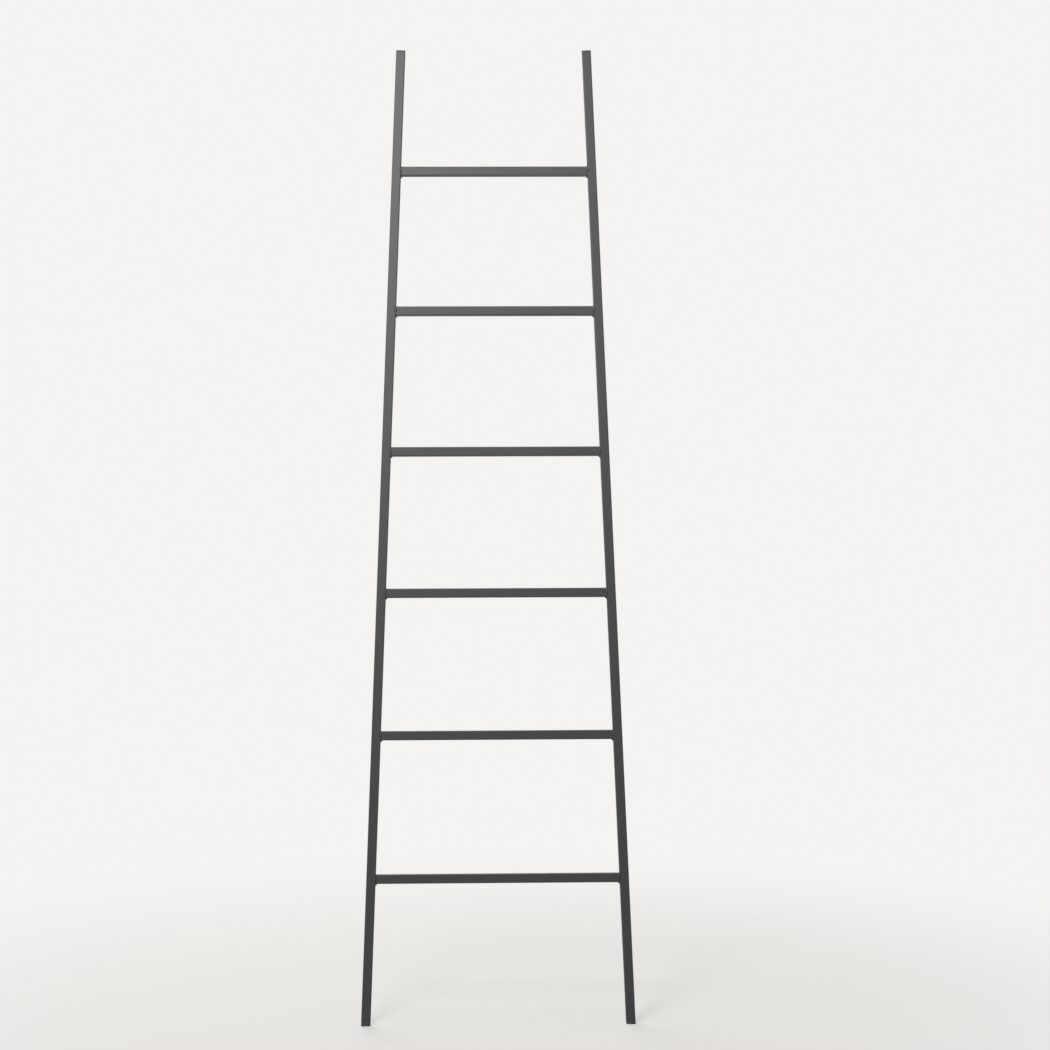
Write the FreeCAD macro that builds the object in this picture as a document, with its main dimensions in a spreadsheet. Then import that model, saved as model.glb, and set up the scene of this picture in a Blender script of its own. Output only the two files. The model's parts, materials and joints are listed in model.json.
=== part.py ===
import FreeCAD, Part
import math
import os

import Sketcher
from FreeCAD import Vector

# A leaning blanket ladder in welded square steel tube: two stiles, splayed wider at the foot,
# with rungs of the same tube butted between them, a plug in each open end of a stile, and weld
# beads at both ends of every rung.
#
# The ladder is modelled as it leans.  +Z is up, the floor is z = 0, the wall is on the +Y side
# and x = 0 is the middle of the ladder.  Rung 1 is the lowest.  Lengths are in millimetres and
# angles in degrees.

SIZES = (
    ("ladder_length", 1900, "up the slope, from the floor to the top of the caps"),
    ("width_bottom", 529, "over both stiles at the floor"),
    ("width_top", 383, "over both stiles at the top"),
    ("lean_angle", 7, "of the ladder from upright, towards the wall"),
    ("tube_side", 18, "outside of the square tube of stiles and rungs"),
    ("tube_wall", 1.5, "wall of the tube"),
    ("tube_corner", 2, "outside radius along the tube's edges"),
    ("rung_count", 6, "number of rungs"),
    ("lowest_rung", 280, "up the slope, from the floor to the middle of rung 1"),
    ("top_rung_drop", 240, "down the slope, from the top of the caps to the middle of the top rung"),
    ("cap_thickness", 3, "head of a cap plug"),
    ("foot_thickness", 5, "head of a foot plug, on the stile's axis"),
    ("head_edge", 0.8, "rounding of a cap's outer edge"),
    ("sole_edge", 1.5, "rounding of a foot's outer edge, at the floor"),
    ("plug_depth", 22, "reach of a plug into the tube"),
    ("plug_clearance", 0.15, "between the ribs of a plug and the tube's wall"),
    ("rib_height", 1.6, "of a plug's ribs above its core"),
    ("rib_thickness", 1.2, "of a plug's ribs along the tube"),
    ("rib_pitch", 6, "from rib to rib"),
    ("rib_count", 3, "ribs on a plug"),
    ("first_rib", 3.5, "from a plug's head to its first rib"),
    ("core_corner", 2, "outside radius along the edges of a plug's core"),
    ("plug_lead", 1.2, "chamfer at the inner end of a plug"),
    ("bead_below", 4.5, "leg of the weld bead under a rung"),
    ("bead_above", 1.8, "leg of the weld bead on top of a rung"),
    ("bead_crown", 0.2, "how far the face of a bead bulges"),
    ("groove_bead_length", 8, "of the beads in the grooves in front and behind"),
    ("groove_bead_rise", 2.5, "of those beads above the middle of the rung"),
    ("groove_bead_lap", 1.6, "of those beads onto the face of the rung"),
    ("groove_bead_crown", 1.2, "of those beads above the faces of the tubes"),
)

document = FreeCAD.newDocument("blanket_ladder")
sheet = document.addObject("Spreadsheet::Sheet", "Sizes")
for row, (name, value, meaning) in enumerate(SIZES, start=1):
    sheet.set(f"A{row}", meaning)
    sheet.set(f"B{row}", str(value))
    sheet.setAlias(f"B{row}", name)
document.recompute()

# ---- the layout, as expressions on the sheet ----

HALF = "(Sizes.tube_side / 2)"
BORE = "(Sizes.tube_side - 2 * Sizes.tube_wall)"
BORE_CORNER = "max(Sizes.tube_corner - Sizes.tube_wall; 0.3)"
FLAT = "(Sizes.tube_side - 2 * Sizes.tube_corner)"

# each stile turns inwards by this angle in the plane of the ladder
SPLAY = "atan((Sizes.width_bottom - Sizes.width_top) / (2 * Sizes.ladder_length))"
STILE_LENGTH = f"(Sizes.ladder_length / cos({SPLAY}))"

# the front edge of a foot and the rear edge of a cap are equally far from the origin
FRONT_REACH = (
    "(Sizes.tube_side / cos(Sizes.lean_angle) / 2"
    " - Sizes.sole_edge * (1 / tan(45 - Sizes.lean_angle / 2) - 1))"
)
REAR_REACH = (
    f"({HALF} - Sizes.head_edge) * cos(Sizes.lean_angle)"
    " + (Sizes.ladder_length - Sizes.head_edge) * sin(Sizes.lean_angle) + Sizes.head_edge"
)
FOOT_Y = f"(({FRONT_REACH} - ({REAR_REACH})) / 2)"

# the plane of the ladder: x across it, z up the slope from the floor
LADDER = f"placement(vector(0; {FOOT_Y}; 0); rotation(vector(1; 0; 0); -Sizes.lean_angle))"


def shifted(across, along, up):
    """The placement that moves a piece without turning it."""
    return f"placement(vector({across}; {along}; {up}); rotation(vector(0; 0; 1); 0))"


def turned(axis, angle):
    """The placement that turns a piece about an axis through its own origin."""
    return f"placement(vector(0; 0; 0); rotation(vector({axis}); {angle}))"


def stile_axis(side):
    """The stile's own placement: its z runs up the stile, from the floor."""
    across = f"{side} * (Sizes.width_bottom - Sizes.tube_side / cos({SPLAY})) / 2"
    return f"{LADDER} * {shifted(across, 0, 0)} * {turned('0; 1; 0', f'{-side} * {SPLAY}')}"


def rung_height(number):
    """How far up the slope the middle of a rung lies."""
    spacing = "(Sizes.ladder_length - Sizes.top_rung_drop - Sizes.lowest_rung) / (Sizes.rung_count - 1)"
    return f"(Sizes.lowest_rung + {number - 1} * {spacing})"


def inner_face(height):
    """Half the clear distance between the stiles at a height up the slope."""
    return f"(Sizes.width_bottom / 2 - Sizes.tube_side / cos({SPLAY}) - {height} * tan({SPLAY}))"


# ---- drawing and solid features ----


def number_of(expression):
    """The present value of an expression on the sheet."""
    return float(sheet.evalExpression(expression))


def new_body(label):
    """An empty body with its own label."""
    body = document.addObject("PartDesign::Body", label)
    body.Label = label
    return body


def origin_feature(body, role):
    """One of the body's own origin planes or axes."""
    return next(item for item in body.Origin.OriginFeatures if item.Role == role)


def new_sketch(body, name, plane, lift="0"):
    """A sketch on one of the body's origin planes, lifted off it by an expression."""
    sketch = body.newObject("Sketcher::SketchObject", name)
    sketch.AttachmentSupport = (origin_feature(body, plane), [""])
    sketch.MapMode = "FlatFace"
    sketch.setExpression("AttachmentOffset.Base.z", lift)
    return sketch


def edge_curve(start, end, radius):
    """A straight edge, or an arc: its centre is left of the run, or right of it if negative."""
    if radius == 0:
        return Part.LineSegment(start, end)
    run = end - start
    left = Vector(-run.y, run.x, 0).normalize()
    depth = math.sqrt(radius**2 - (run.Length / 2) ** 2)
    centre = (start + end) / 2 + left * math.copysign(depth, radius)
    first, last = (start, end) if radius > 0 else (end, start)
    angles = [math.atan2(point.y - centre.y, point.x - centre.x) for point in (first, last)]
    return Part.ArcOfCircle(Part.Circle(centre, Vector(0, 0, 1), abs(radius)), *angles)


def outline(sketch, corners, radii=None):
    """A closed outline through corners given as pairs of expressions.

    radii holds a signed radius for each edge that is an arc, by the number of the corner that
    the edge starts from, as an expression.
    """
    radii = radii or {}
    first = sketch.GeometryCount
    points = [Vector(number_of(x), number_of(y), 0) for x, y in corners]
    ends = []
    for index, start in enumerate(points):
        radius = number_of(radii[index]) if index in radii else 0
        sketch.addGeometry(edge_curve(start, points[(index + 1) % len(points)], radius))
        ends.append((2, 1) if radius < 0 else (1, 2))
    for index, (x, y) in enumerate(corners):
        edge = first + index
        before = (index - 1) % len(corners)
        start = ends[index][0]
        sketch.addConstraint(Sketcher.Constraint("Coincident", first + before, ends[before][1], edge, start))
        for kind, value in (("DistanceX", x), ("DistanceY", y)):
            size = Sketcher.Constraint(kind, -1, 1, edge, start, number_of(value))
            sketch.setExpression(f"Constraints[{sketch.addConstraint(size)}]", value)
        if index in radii:
            bend = Sketcher.Constraint("Radius", edge, abs(number_of(radii[index])))
            sketch.setExpression(f"Constraints[{sketch.addConstraint(bend)}]", f"abs({radii[index]})")


def rounded_square(sketch, side, corner):
    """A square about the sketch's origin with rounded corners."""
    far = f"({side}) / 2"
    near = f"(({side}) / 2 - {corner})"
    quarter = ((near, f"-{far}"), (far, f"-{near}"))
    corners = list(quarter)
    for _ in range(3):
        corners += [(f"-({y})", x) for x, y in corners[-2:]]
    outline(sketch, corners, {index: corner for index in (0, 2, 4, 6)})


def pad(body, sketch, name, length, symmetric=False, backwards=False):
    """Give a sketch its thickness, on one side of it or evenly on both."""
    feature = body.newObject("PartDesign::Pad", name)
    feature.Profile = (sketch, [""])
    feature.SideType = "Symmetric" if symmetric else "One side"
    feature.Reversed = backwards
    feature.setExpression("Length", length)
    document.recompute()
    return feature


def edges_at(feature, height):
    """The names of a feature's edges that lie wholly at one height."""
    names = []
    for index, edge in enumerate(feature.Shape.Edges, start=1):
        box = edge.BoundBox
        if abs(box.ZMin - height) < 0.01 and abs(box.ZMax - height) < 0.01:
            names.append(f"Edge{index}")
    return names


def edges_on_floor(body, feature):
    """The names of a feature's edges that lie on the floor where the body stands."""
    names = []
    for index, edge in enumerate(feature.Shape.Edges, start=1):
        if all(abs(body.Placement.multVec(vertex.Point).z) < 0.01 for vertex in edge.Vertexes):
            names.append(f"Edge{index}")
    return names


# ---- the tubes ----


def build_stile(label, side):
    """One stile: a straight tube, cut square at both ends to seat the heads of its plugs."""
    body = new_body(label)
    section = new_sketch(body, f"{label}_section", "XY_Plane", "Sizes.foot_thickness")
    rounded_square(section, "Sizes.tube_side", "Sizes.tube_corner")
    rounded_square(section, BORE, BORE_CORNER)
    pad(body, section, f"{label}_tube", f"{STILE_LENGTH} - Sizes.foot_thickness - Sizes.cap_thickness")
    body.setExpression("Placement", stile_axis(side))
    return body


def build_rung(number):
    """One rung: a level tube whose ends are cut to lie flat on the stiles' inner faces."""
    label = f"rung_{number}"
    middle = rung_height(number)
    body = new_body(label)
    section = new_sketch(body, f"{label}_section", "YZ_Plane")
    rounded_square(section, "Sizes.tube_side", "Sizes.tube_corner")
    rounded_square(section, BORE, BORE_CORNER)
    blank = f"2 * {inner_face(f'({middle} - Sizes.tube_side)')}"
    pad(body, section, f"{label}_tube", blank, symmetric=True)

    waste = new_sketch(body, f"{label}_waste", "XZ_Plane")
    near_foot = inner_face(f"({middle} - Sizes.tube_side)")
    near_top = inner_face(f"({middle} + Sizes.tube_side)")
    beyond = f"({near_foot} + Sizes.tube_side)"
    low, high = "-Sizes.tube_side", "Sizes.tube_side"
    outline(waste, ((near_foot, low), (beyond, low), (beyond, high), (near_top, high)))
    outline(
        waste,
        ((f"-{near_foot}", low), (f"-{near_top}", high), (f"-{beyond}", high), (f"-{beyond}", low)),
    )
    mitre = body.newObject("PartDesign::Pocket", f"{label}_mitre")
    mitre.Profile = (waste, [""])
    mitre.SideType = "Symmetric"
    mitre.setExpression("Length", "2 * Sizes.tube_side")
    body.setExpression("Placement", f"{LADDER} * {shifted(0, 0, middle)}")
    return body


# ---- the plugs ----


def build_plug(label, head_thickness, placement, rounded):
    """A plug: a head the size of the tube, z outwards, and a ribbed core inside the bore."""
    rib_side = f"({BORE} - 2 * Sizes.plug_clearance)"
    body = new_body(label)
    outside = new_sketch(body, f"{label}_head_outline", "XY_Plane")
    rounded_square(outside, "Sizes.tube_side", "Sizes.tube_corner")
    head = pad(body, outside, f"{label}_head", head_thickness)
    if rounded:
        rounding = body.newObject("PartDesign::Fillet", f"{label}_rounding")
        rounding.Base = (head, edges_at(head, number_of(head_thickness)))
        rounding.setExpression("Radius", "Sizes.head_edge")

    core = new_sketch(body, f"{label}_core_outline", "XY_Plane")
    rounded_square(core, f"{rib_side} - 2 * Sizes.rib_height", "Sizes.core_corner")
    stem = pad(body, core, f"{label}_core", "Sizes.plug_depth", backwards=True)
    lead = body.newObject("PartDesign::Chamfer", f"{label}_lead")
    lead.Base = (stem, edges_at(stem, -number_of("Sizes.plug_depth")))
    lead.setExpression("Size", "min(Sizes.plug_lead; 0.9 * Sizes.core_corner)")

    rib = new_sketch(body, f"{label}_rib_outline", "XY_Plane", "-Sizes.first_rib")
    rounded_square(rib, rib_side, BORE_CORNER)
    ring = pad(body, rib, f"{label}_rib", "Sizes.rib_thickness", backwards=True)
    ribs = body.newObject("PartDesign::LinearPattern", f"{label}_ribs")
    ribs.Originals = [ring]
    ribs.Direction = (origin_feature(body, "Z_Axis"), [""])
    ribs.Reversed = True
    ribs.Mode = "Spacing"
    ribs.setExpression("Offset", "Sizes.rib_pitch")
    ribs.setExpression("Occurrences", "Sizes.rib_count")
    body.Tip = ribs
    document.recompute()
    body.setExpression("Placement", placement)
    return body


def build_cap(label, side):
    """A cap plug: its outer edge is rounded and it closes the top of a stile."""
    seat = shifted(0, 0, f"{STILE_LENGTH} - Sizes.cap_thickness")
    return build_plug(label, "Sizes.cap_thickness", f"{stile_axis(side)} * {seat}", rounded=True)


def build_foot(label, side):
    """A foot plug: its sole is cut level, to stand flat on the floor, and its edge is rounded."""
    seat = f"{shifted(0, 0, 'Sizes.foot_thickness')} * {turned('1; 0; 0', 180)}"
    placement = f"{stile_axis(side)} * {seat}"
    body = build_plug(label, "Sizes.foot_thickness + Sizes.tube_side", placement, rounded=False)
    floor = body.newObject("PartDesign::SubtractiveBox", f"{label}_sole")
    for edge in ("Length", "Width", "Height"):
        floor.setExpression(edge, "4 * Sizes.tube_side")
    across = f"{side} * (Sizes.width_bottom - Sizes.tube_side) / 2 - 2 * Sizes.tube_side"
    below = shifted(across, f"{FOOT_Y} - 2 * Sizes.tube_side", "-4 * Sizes.tube_side")
    floor.setExpression("Placement", f"minvert({placement}) * {below}")
    document.recompute()
    rounding = body.newObject("PartDesign::Fillet", f"{label}_rounding")
    rounding.Base = (floor, edges_on_floor(body, floor))
    rounding.setExpression("Radius", "Sizes.sole_edge")
    body.Tip = rounding
    return body


# ---- the welds ----
# A joint's own frame has its origin where the middle of the rung meets the stile's inner face,
# x along the rung towards the middle of the ladder and z up the slope.


def build_corner_bead(label, above, leg):
    """The bead in the corner between a rung's top or underside and the stile's inner face."""
    way = 1 if above else -1
    x = f"{way} * {HALF} * tan({SPLAY})"
    z = f"{way} * {HALF}"
    corner = (x, z)
    on_rung = (f"{x} + {leg}", z)
    on_stile = (f"{x} + {way} * {leg} * sin({SPLAY})", f"{z} + {way} * {leg} * cos({SPLAY})")
    half_chord = f"({leg} * sin(45 deg - {way} * {SPLAY} / 2))"
    face = f"(({half_chord} ^ 2 + Sizes.bead_crown ^ 2) / (2 * Sizes.bead_crown))"
    body = new_body(label)
    section = new_sketch(body, f"{label}_section", "XZ_Plane")
    if above:
        outline(section, (corner, on_rung, on_stile), {1: face})
    else:
        outline(section, (corner, on_stile, on_rung), {1: face})
    pad(body, section, f"{label}_run", FLAT, symmetric=True)
    return body


def build_groove_bead(label, behind):
    """The bead that fills the groove between a rung's end and the stile's rounded edge."""
    root = f"Sizes.tube_corner / 2 - {HALF}"
    face = f"-{HALF}"
    root_width = "Sizes.tube_corner * (cos(30) - 1)"
    half_chord = "((Sizes.groove_bead_lap + Sizes.tube_corner) / 2)"
    crown = f"(({half_chord} ^ 2 + Sizes.groove_bead_crown ^ 2) / (2 * Sizes.groove_bead_crown))"
    body = new_body(label)
    section = new_sketch(body, f"{label}_section", "XY_Plane")
    corners = (
        ("0", root),
        (root_width, root),
        ("-Sizes.tube_corner", face),
        ("Sizes.groove_bead_lap", face),
        ("0", face),
    )
    outline(section, corners, {1: "-Sizes.tube_corner", 2: crown})
    pad(body, section, f"{label}_run", "Sizes.groove_bead_length", symmetric=True)
    placement = f"{turned('0; 1; 0', SPLAY)} * {shifted(0, 0, 'Sizes.groove_bead_rise')}"
    if behind:
        placement = f"{placement} * {turned('1; 0; 0', 180)}"
    body.setExpression("Placement", placement)
    return body


def build_weld(label, side, number, beads):
    """All the weld beads at one end of a rung, as separate solids in one group."""
    middle = rung_height(number)
    weld = document.addObject("Part::Compound", label)
    weld.Label = label
    weld.Links = beads
    facing = turned("0; 0; 1", 0 if side < 0 else 180)
    weld.setExpression(
        "Placement", f"{LADDER} * {shifted(f'{side} * {inner_face(middle)}', 0, middle)} * {facing}"
    )
    return weld


# ---- the ladder ----

SIDES = (("left", -1), ("right", 1))
rung_numbers = range(1, int(round(number_of("Sizes.rung_count"))) + 1)

pieces = []
for word, side in SIDES:
    pieces.append(build_stile(f"{word}_stile", side))
    pieces.append(build_cap(f"cap_plug_{word}", side))
    pieces.append(build_foot(f"foot_plug_{word}", side))
for number in rung_numbers:
    pieces.append(build_rung(number))

beads = [
    build_corner_bead("bead_under_rung", False, "Sizes.bead_below"),
    build_corner_bead("bead_on_rung", True, "Sizes.bead_above"),
    build_groove_bead("bead_in_front", False),
    build_groove_bead("bead_behind", True),
]
for word, side in SIDES:
    for number in rung_numbers:
        pieces.append(build_weld(f"weld_{word}_{number}", side, number, beads))
document.recompute()

# ---- checks, then one file for each piece ----

for item in document.Objects:
    if "Invalid" in item.State or "Error" in item.State:
        raise RuntimeError(f"{item.Label} failed: {item.State}")
for piece in pieces:
    if piece.Shape.isNull() or not piece.Shape.isValid():
        raise RuntimeError(f"{piece.Label} has no valid shape")

os.makedirs("parts", exist_ok=True)
for piece in pieces:
    piece.Shape.exportStep(f"parts/{piece.Label}.step")
    print(piece.Label, len(piece.Shape.Solids), "solids", round(piece.Shape.Volume, 1), "mm3")
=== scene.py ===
"""A leaning blanket ladder in welded square steel tube with a charcoal powder coat.

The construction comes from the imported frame: where every tube starts and ends is read from its
node. Each piece is shaped in millimetres in its own upright workshop position, and its mesh is
then carried to its place in the frame, which is in metres.
"""

import json
import logging
import math
from abc import ABC, abstractmethod
from collections.abc import Sequence
from dataclasses import dataclass, field
from enum import Enum

import bmesh
import bpy
from mathutils import Matrix, Vector


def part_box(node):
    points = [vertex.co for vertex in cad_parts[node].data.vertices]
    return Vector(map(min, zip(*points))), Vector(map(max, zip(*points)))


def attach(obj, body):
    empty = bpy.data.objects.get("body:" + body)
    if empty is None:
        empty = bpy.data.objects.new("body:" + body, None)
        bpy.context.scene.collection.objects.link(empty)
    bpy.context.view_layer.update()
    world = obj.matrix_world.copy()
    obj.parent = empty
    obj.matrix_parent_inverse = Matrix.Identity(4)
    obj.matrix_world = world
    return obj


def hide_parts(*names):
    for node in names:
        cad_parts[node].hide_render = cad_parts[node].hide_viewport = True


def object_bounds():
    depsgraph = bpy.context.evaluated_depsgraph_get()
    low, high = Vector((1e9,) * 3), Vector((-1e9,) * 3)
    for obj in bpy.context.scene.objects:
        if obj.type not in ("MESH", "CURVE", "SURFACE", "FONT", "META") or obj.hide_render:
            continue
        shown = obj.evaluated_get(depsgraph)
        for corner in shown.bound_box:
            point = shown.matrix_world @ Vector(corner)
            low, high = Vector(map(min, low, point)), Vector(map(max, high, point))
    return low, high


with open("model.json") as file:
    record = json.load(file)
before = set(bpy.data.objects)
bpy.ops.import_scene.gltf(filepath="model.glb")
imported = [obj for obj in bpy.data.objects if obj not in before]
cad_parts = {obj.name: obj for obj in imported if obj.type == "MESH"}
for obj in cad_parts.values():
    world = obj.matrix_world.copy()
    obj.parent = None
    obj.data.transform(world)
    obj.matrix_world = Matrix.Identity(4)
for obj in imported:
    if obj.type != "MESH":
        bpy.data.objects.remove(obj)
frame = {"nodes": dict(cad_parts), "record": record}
CAD_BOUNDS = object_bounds()

LOG = logging.getLogger("blanket_ladder")
MM = 0.001
BODY = "root"
EDGE_FILM = "edge_film"
# an edge that turns by more than this is a sharp one
SHARP_ANGLE = math.radians(50)

Ring = list[Vector]
Colour = tuple[float, float, float, float]
# a height, and the side and the corner radius of the square there
Station = tuple[float, float, float]


class Side(Enum):
    """The two sides of the ladder, seen from the room."""

    LEFT = "left"
    RIGHT = "right"


class Slot(Enum):
    """The material slots of the part's record."""

    STEEL = "steel"
    WELD = "weld"
    CAP_PLASTIC = "cap_plastic"
    FOOT_PLASTIC = "foot_plastic"


# ---- nodes and colours ----

# the numbers of a Mix node's sockets when it mixes colours
MIX_FACTOR, MIX_FIRST, MIX_SECOND, MIX_RESULT = 0, 6, 7, 2


def hex_to_linear(code: str) -> Colour:
    """Turn an sRGB hex colour into the linear values that a shader takes.

    Args:
        code: Six hex digits, with or without a leading hash.

    Returns:
        Linear red, green and blue, with an alpha of 1.
    """
    digits = code.lstrip("#")
    encoded = [int(digits[at : at + 2], 16) / 255 for at in (0, 2, 4)]
    # the sRGB curve: a straight line near black and a power above it
    linear = [part / 12.92 if part <= 0.04045 else ((part + 0.055) / 1.055) ** 2.4 for part in encoded]
    return (linear[0], linear[1], linear[2], 1.0)


def add_node(
    tree: bpy.types.NodeTree, kind: str, inputs: dict[str | int, object] | None = None, **settings: object
) -> bpy.types.Node:
    """Add a node to a tree with its settings, values and links.

    Args:
        tree: The tree that gets the node.
        kind: The node's type, such as ShaderNodeBump.
        inputs: For each input, by name or number, its value, or the output that feeds it.
        **settings: The node's own properties.

    Returns:
        The new node.
    """
    node = tree.nodes.new(kind)
    for name, value in settings.items():
        setattr(node, name, value)
    for key, value in (inputs or {}).items():
        if isinstance(value, bpy.types.NodeSocket):
            tree.links.new(value, node.inputs[key])
        else:
            node.inputs[key].default_value = value
    return node


def reckon(
    tree: bpy.types.NodeTree, operation: str, *values: object, clamp: bool = False
) -> bpy.types.NodeSocket:
    """Add a Math node.

    Args:
        tree: The tree that gets the node.
        operation: What the node works out, such as MULTIPLY.
        *values: For each input in order, its value, or the output that feeds it.
        clamp: Whether the result is held between 0 and 1.

    Returns:
        The result.
    """
    inputs = dict(enumerate(values))
    node = add_node(tree, "ShaderNodeMath", inputs, operation=operation, use_clamp=clamp)
    return node.outputs["Value"]


def ranged(
    tree: bpy.types.NodeTree,
    value: bpy.types.NodeSocket,
    given: Sequence[object] = (0.0, 1.0),
    wanted: Sequence[object] = (0.0, 1.0),
    **settings: object,
) -> bpy.types.NodeSocket:
    """Add a Map Range node, which holds its result at the ends of its range.

    Args:
        tree: The tree that gets the node.
        value: The value that is mapped.
        given: The two ends of its range, as values or the outputs that feed them.
        wanted: The two ends of the result's range.
        **settings: The node's own properties.

    Returns:
        The result.
    """
    inputs = dict(zip(("Value", "From Min", "From Max", "To Min", "To Max"), (value, *given, *wanted)))
    return add_node(tree, "ShaderNodeMapRange", inputs, **settings).outputs["Result"]


def noise(
    tree: bpy.types.NodeTree, where: bpy.types.NodeSocket, grain: float, **others: float
) -> bpy.types.NodeSocket:
    """Add a Noise Texture node.

    Args:
        tree: The tree that gets the node.
        where: The place that it is read at, in metres.
        grain: The size of its grains in millimetres.
        **others: Its other inputs, such as Detail.

    Returns:
        Its value, between 0 and 1.
    """
    inputs = {"Vector": where, "Scale": 1 / (grain * MM), **others}
    return add_node(tree, "ShaderNodeTexNoise", inputs).outputs["Fac"]


def blend(
    tree: bpy.types.NodeTree, share: bpy.types.NodeSocket, first: object, second: object
) -> bpy.types.NodeSocket:
    """Add a Mix node for two colours, and give its result; share is how much of the second is in it."""
    inputs = {MIX_FACTOR: share, MIX_FIRST: first, MIX_SECOND: second}
    return add_node(tree, "ShaderNodeMix", inputs, data_type="RGBA").outputs[MIX_RESULT]


def bumped(
    tree: bpy.types.NodeTree, height: bpy.types.NodeSocket, depth: float, **others: bpy.types.NodeSocket
) -> bpy.types.NodeSocket:
    """Add a Bump node.

    Args:
        tree: The tree that gets the node.
        height: The pattern, between 0 and 1.
        depth: How deep the pattern goes, in millimetres.
        **others: Its other inputs, such as the Normal that it adds to.

    Returns:
        The bumped normal.
    """
    inputs = {"Height": height, "Distance": depth * MM, **others}
    return add_node(tree, "ShaderNodeBump", inputs).outputs["Normal"]


# ---- finishes ----

# the stretch of a noise texture's values that the finishes read
NOISE_LOW, NOISE_HIGH = 0.3, 0.7


@dataclass(frozen=True)
class Finish(ABC):
    """A surface as it leaves the workshop, with the real sizes of its patterns."""

    name: str

    def material(self) -> bpy.types.Material:
        """Build the finish as a node material.

        Returns:
            The new material, named for the finish.
        """
        made = bpy.data.materials.new(self.name)
        made.use_nodes = True
        tree = made.node_tree
        tree.nodes.clear()
        coordinates = add_node(tree, "ShaderNodeTexCoord")
        middle = (CAD_BOUNDS[0] + CAD_BOUNDS[1]) / 2
        centred = add_node(
            tree, "ShaderNodeMapping", {"Vector": coordinates.outputs["Object"], "Location": -middle}
        )
        shader = self.shade(tree, centred.outputs["Vector"])
        add_node(tree, "ShaderNodeOutputMaterial", {"Surface": shader.outputs["BSDF"]})
        return made

    @abstractmethod
    def shade(self, tree: bpy.types.NodeTree, where: bpy.types.NodeSocket) -> bpy.types.Node:
        """Add the finish's own nodes.

        Args:
            tree: The material's tree.
            where: The place on the piece, in metres, centred on the ladder.

        Returns:
            The shader node.
        """


@dataclass(frozen=True)
class PowderCoat(Finish):
    """Polyester powder, sprayed on dry and baked at about 200 degrees.

    The baked film is 70 to 90 microns thick. It flows into a faint orange peel, stays a little
    rough to the light because of its satin matting agent, pulls thinner over sharp edges and
    fills crevices.
    """

    body: str = "#323134"
    cloud: str = "#363538"
    edge: str = "#4a494c"
    cloud_grain: float = 140.0
    peel_grain: float = 2.4
    peel_depth: float = 0.007
    # the matting grit is finer than 0.1 mm; drawn coarser, at 0.6 mm, so that a close view shows it
    grit_grain: float = 0.6
    grit_depth: float = 0.010
    least_rough: float = 0.43
    most_rough: float = 0.49
    ior: float = 1.5

    def shade(self, tree: bpy.types.NodeTree, where: bpy.types.NodeSocket) -> bpy.types.Node:
        """Add the coat's clouding, orange peel, grit and thin edges (see the base class)."""
        cloud = noise(tree, where, self.cloud_grain, Detail=3.0)
        peel = noise(tree, where, self.peel_grain, Detail=1.0, Roughness=0.4)
        grit = noise(tree, where, self.grit_grain, Detail=2.0)
        tone = blend(tree, cloud, hex_to_linear(self.body), hex_to_linear(self.cloud))
        film = add_node(tree, "ShaderNodeAttribute", attribute_name=EDGE_FILM)
        worn = reckon(tree, "MULTIPLY", film.outputs["Fac"], grit)
        waves = bumped(tree, peel, self.peel_depth)
        return add_node(
            tree,
            "ShaderNodeBsdfPrincipled",
            {
                "Base Color": blend(tree, worn, tone, hex_to_linear(self.edge)),
                "Roughness": ranged(
                    tree, peel, (NOISE_LOW, NOISE_HIGH), (self.least_rough, self.most_rough)
                ),
                "Normal": bumped(tree, grit, self.grit_depth, Normal=waves),
                "IOR": self.ior,
            },
        )


@dataclass(frozen=True)
class MouldedPolyethylene(Finish):
    """Polyethylene injected into a spark-eroded mould.

    The mould gives it an even fine grain and a dull sheen, and handling polishes the high spots.
    """

    body: str = "#3a3a3c"
    rubbed: str = "#454547"
    # the spark-eroded grain is 0.1 to 0.2 mm; drawn coarser, at 0.6 mm, so that a close view shows it
    grain: float = 0.6
    grain_depth: float = 0.012
    rub_grain: float = 5.0
    # a patch is rubbed where the noise is over the onset, and takes up to this share of the rubbed look
    rub_onset: float = 0.45
    rub_share: float = 0.6
    # a sole is scuffed up to this height: the factors on its rubbing at the floor and at that height
    scuff_height: float = 0.0
    scuff_at_floor: float = 1.6
    scuff_above: float = 0.5
    roughness: float = 0.6
    rubbed_roughness: float = 0.48
    ior: float = 1.51

    def shade(self, tree: bpy.types.NodeTree, where: bpy.types.NodeSocket) -> bpy.types.Node:
        """Add the moulded grain, the rubbed patches and any scuffed sole (see the base class)."""
        grain = noise(tree, where, self.grain, Detail=2.0)
        rub = noise(tree, where, self.rub_grain, Detail=4.0)
        amount = ranged(tree, rub, (self.rub_onset, NOISE_HIGH), (0.0, self.rub_share))
        if self.scuff_height > 0:
            coordinates = add_node(tree, "ShaderNodeTexCoord")
            place = add_node(tree, "ShaderNodeSeparateXYZ", {"Vector": coordinates.outputs["Object"]})
            scuff = ranged(
                tree,
                place.outputs["Z"],
                (0.0, self.scuff_height * MM),
                (self.scuff_at_floor, self.scuff_above),
            )
            amount = reckon(tree, "MULTIPLY", amount, scuff, clamp=True)
        return add_node(
            tree,
            "ShaderNodeBsdfPrincipled",
            {
                "Base Color": blend(
                    tree, amount, hex_to_linear(self.body), hex_to_linear(self.rubbed)
                ),
                "Roughness": ranged(tree, amount, wanted=(self.roughness, self.rubbed_roughness)),
                "Normal": bumped(tree, grain, self.grain_depth),
                "IOR": self.ior,
            },
        )


# ---- geometry trees ----

# the power of the distance from the middle of a bead by which it tapers
TAPER_POWER = 4.0
# the ball that a ripple is made from
BALL_SEGMENTS, BALL_RINGS = 20, 12
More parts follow.
